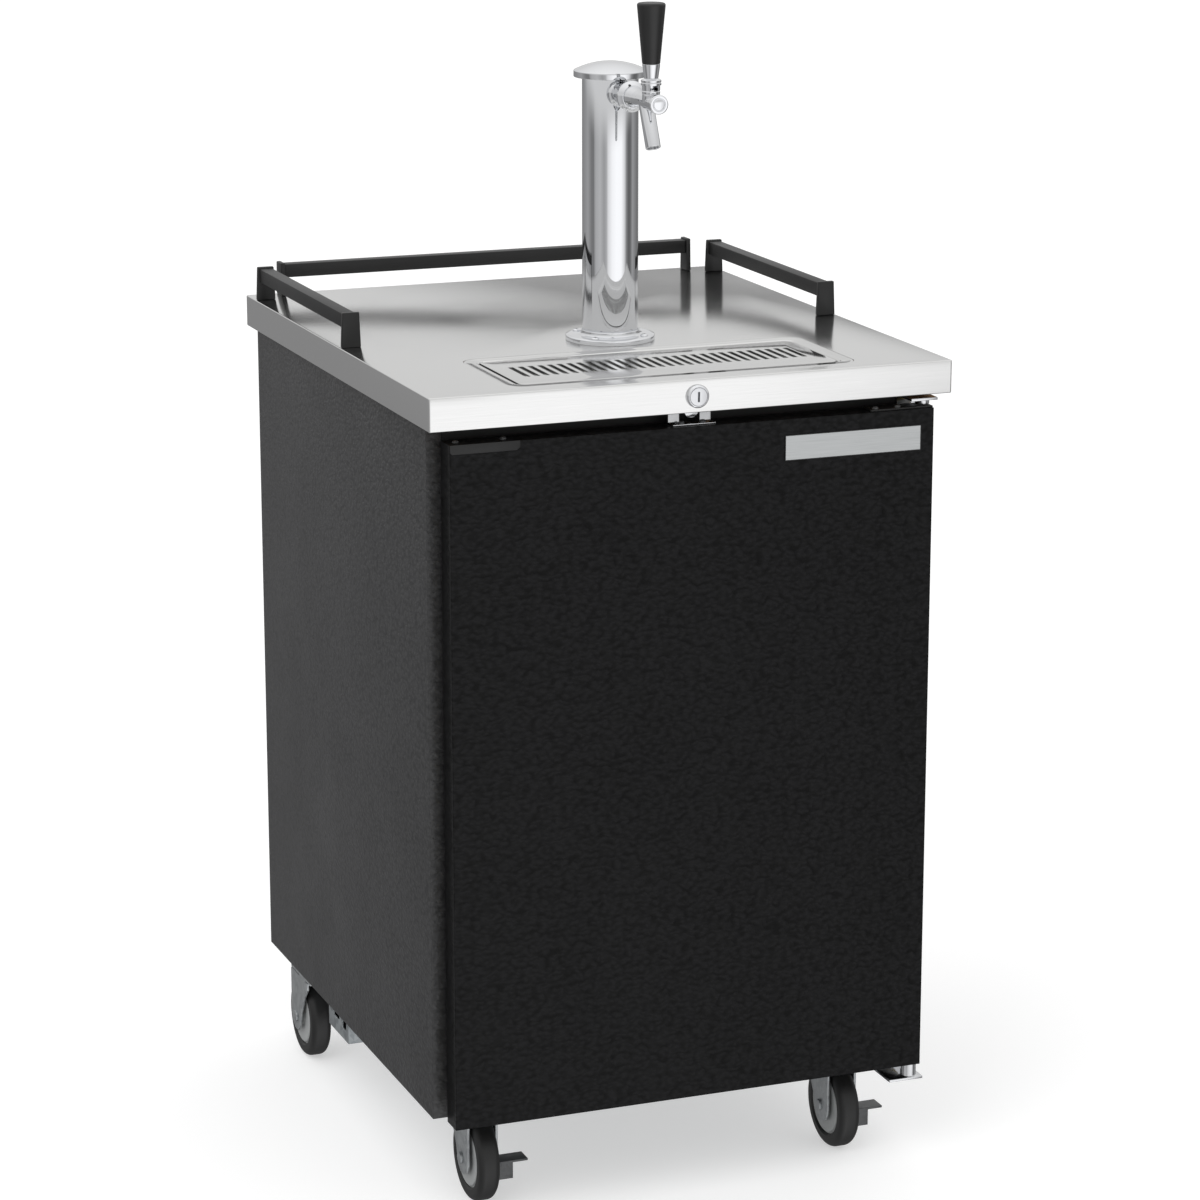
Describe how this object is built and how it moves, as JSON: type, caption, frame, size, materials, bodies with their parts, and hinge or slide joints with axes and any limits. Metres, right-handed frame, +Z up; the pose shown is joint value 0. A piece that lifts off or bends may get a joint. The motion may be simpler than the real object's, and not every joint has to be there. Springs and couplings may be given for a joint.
{
  "type": "kegerator",
  "caption": "Black cabinet on swivel casters with a hinged door, stainless worktop, drip tray, gallery rails and a chrome draft tower with a tap.",
  "frame": {"origin": "on the floor at the centre of the bounding box seen from above", "axes": "+X to the right seen from the door side, -Y to the front (door side), +Z up"},
  "size_m": [0.61, 0.696, 1.331],
  "materials": {
    "black_enamel": "black enamel over steel",
    "black_plastic": "matte black moulded plastic",
    "black_rail": "black satin powder coat",
    "black_vinyl_steel": "black vinyl-clad steel, leather-grain emboss",
    "chrome": "polished chrome plate",
    "coil": "aluminium fins on tube",
    "copper": "copper refrigerant tube",
    "core_board": "water-resistant core board",
    "foam": "closed-cell polyurethane foam",
    "galvanised": "galvanised sheet",
    "grey_plastic": "grey moulded plastic",
    "rubber": "flexible rubber or vinyl",
    "stainless": "brushed stainless steel",
    "tyre": "black caster tread with a grey hub",
    "white_plastic": "white moulded liner plastic",
    "zinc": "zinc-plated steel, dull"
  },
  "bodies": {
    "cabinet": {"base_channel": "galvanised", "beer_line": "white_plastic", "cabinet_foam": "foam", "caster_plates": "zinc", "chassis_pan": "galvanised", "compressor": "black_enamel", "condenser_coil": "coil", "coupling_nut": "chrome", "drain_tube": "rubber", "drip_tray": "stainless", "electrical_box": "black_plastic", "evaporator_coil": "coil", "evaporator_housing": "white_plastic", "face_frame": "black_plastic", "fan_motors": "black_enamel", "faucet_body": "chrome", "faucet_bonnet": "chrome", "faucet_shank": "chrome", "gallery_bars": "black_rail", "gallery_posts": "black_rail", "hinge_brackets": "chrome", "inner_liner": "white_plastic", "lock_barrel": "chrome", "rear_grille": "black_enamel", "refrigerant_lines": "copper", "side_panels": "black_vinyl_steel", "tower_cap": "chrome", "tower_column": "chrome", "tower_flange": "chrome", "tower_insulation": "foam", "tower_screws": "chrome", "worktop_core": "core_board", "worktop_shell": "stainless"},
    "door": {"door_skin": "black_vinyl_steel", "door_core": "foam", "door_liner": "white_plastic", "door_gasket": "rubber", "pull_strip": "black_plastic", "badge_plate": "stainless", "door_hinge_leaf": "zinc", "latch_bracket": "chrome", "door_screws": "zinc"},
    "lock": {"lock_plug": "chrome"},
    "tap": {"faucet_lever": "chrome", "tap_handle": "black_plastic"},
    "plunger": {"faucet_plunger": "chrome"},
    "grate": {"drip_grate": "stainless"},
    "condenser_rotor": {"condenser_fan": "black_plastic"},
    "evaporator_rotor": {"evaporator_fan": "black_plastic"},
    "dial": {"thermostat_knob": "grey_plastic"},
    "swivel_front_left": {"caster_fork_front_left": "zinc"},
    "wheel_front_left": {"caster_wheel_front_left": "tyre"},
    "brake_front_left": {"brake_lever_front_left": "zinc"},
    "swivel_front_right": {"caster_fork_front_right": "zinc"},
    "wheel_front_right": {"caster_wheel_front_right": "tyre"},
    "brake_front_right": {"brake_lever_front_right": "zinc"},
    "swivel_rear_left": {"caster_fork_rear_left": "zinc"},
    "wheel_rear_left": {"caster_wheel_rear_left": "tyre"},
    "swivel_rear_right": {"caster_fork_rear_right": "zinc"},
    "wheel_rear_right": {"caster_wheel_rear_right": "tyre"}
  },
  "joints": [
    {"name": "door_hinge", "type": "hinge", "parent": "cabinet", "child": "door", "pos_m": [0.275, -0.33, 0.5], "axis": [0, 0, 1], "range_deg": [0, 115]},
    {"name": "lock_turn", "type": "hinge", "parent": "cabinet", "child": "lock", "pos_m": [0, -0.343, 0.922], "axis": [0, 1, 0], "range_deg": [0, 90]},
    {"name": "tap_pull", "type": "hinge", "parent": "cabinet", "child": "tap", "pos_m": [0, -0.2064, 1.234], "axis": [1, 0, 0], "range_deg": [0, 25]},
    {"name": "plunger_slide", "type": "slide", "parent": "cabinet", "child": "plunger", "axis": [0, 1, 0], "range_m": [0, 0.0045]},
    {"name": "grate_lift", "type": "slide", "parent": "cabinet", "child": "grate", "axis": [0, 0, 1], "range_m": [0, 0.06]},
    {"name": "thermostat_turn", "type": "hinge", "parent": "cabinet", "child": "dial", "pos_m": [-0.172, 0.089, 0.815], "axis": [0, 1, 0], "range_deg": [0, 270]},
    {"name": "condenser_fan_spin", "type": "hinge", "parent": "cabinet", "child": "condenser_rotor", "pos_m": [0.172, 0.267, 0.2272], "axis": [1, 0, 0], "continuous": true},
    {"name": "evaporator_fan_spin", "type": "hinge", "parent": "cabinet", "child": "evaporator_rotor", "pos_m": [0.12, 0.093, 0.815], "axis": [0, 1, 0], "continuous": true},
    {"name": "swivel_turn_front_left", "type": "hinge", "parent": "cabinet", "child": "swivel_front_left", "pos_m": [-0.2325, -0.238, 0.108], "axis": [0, 0, 1], "continuous": true},
    {"name": "wheel_spin_front_left", "type": "hinge", "parent": "swivel_front_left", "child": "wheel_front_left", "pos_m": [-0.2325, -0.266, 0.0508], "axis": [1, 0, 0], "continuous": true},
    {"name": "brake_press_front_left", "type": "hinge", "parent": "swivel_front_left", "child": "brake_front_left", "pos_m": [-0.2325, -0.246, 0.066], "axis": [1, 0, 0], "range_deg": [0, 10]},
    {"name": "swivel_turn_front_right", "type": "hinge", "parent": "cabinet", "child": "swivel_front_right", "pos_m": [0.2105, -0.238, 0.108], "axis": [0, 0, 1], "continuous": true},
    {"name": "wheel_spin_front_right", "type": "hinge", "parent": "swivel_front_right", "child": "wheel_front_right", "pos_m": [0.2105, -0.266, 0.0508], "axis": [1, 0, 0], "continuous": true},
    {"name": "brake_press_front_right", "type": "hinge", "parent": "swivel_front_right", "child": "brake_front_right", "pos_m": [0.2105, -0.246, 0.066], "axis": [1, 0, 0], "range_deg": [0, 10]},
    {"name": "swivel_turn_rear_left", "type": "hinge", "parent": "cabinet", "child": "swivel_rear_left", "pos_m": [-0.274, 0.21, 0.108], "axis": [0, 0, 1], "continuous": true},
    {"name": "wheel_spin_rear_left", "type": "hinge", "parent": "swivel_rear_left", "child": "wheel_rear_left", "pos_m": [-0.274, 0.238, 0.0508], "axis": [1, 0, 0], "continuous": true},
    {"name": "swivel_turn_rear_right", "type": "hinge", "parent": "cabinet", "child": "swivel_rear_right", "pos_m": [0.274, 0.21, 0.108], "axis": [0, 0, 1], "continuous": true},
    {"name": "wheel_spin_rear_right", "type": "hinge", "parent": "swivel_rear_right", "child": "wheel_rear_right", "pos_m": [0.274, 0.238, 0.0508], "axis": [1, 0, 0], "continuous": true}
  ],
  "couplings": [
    {"joint": "plunger_slide", "follows": "tap_pull", "m_per_rad": 0.0097}
  ]
}
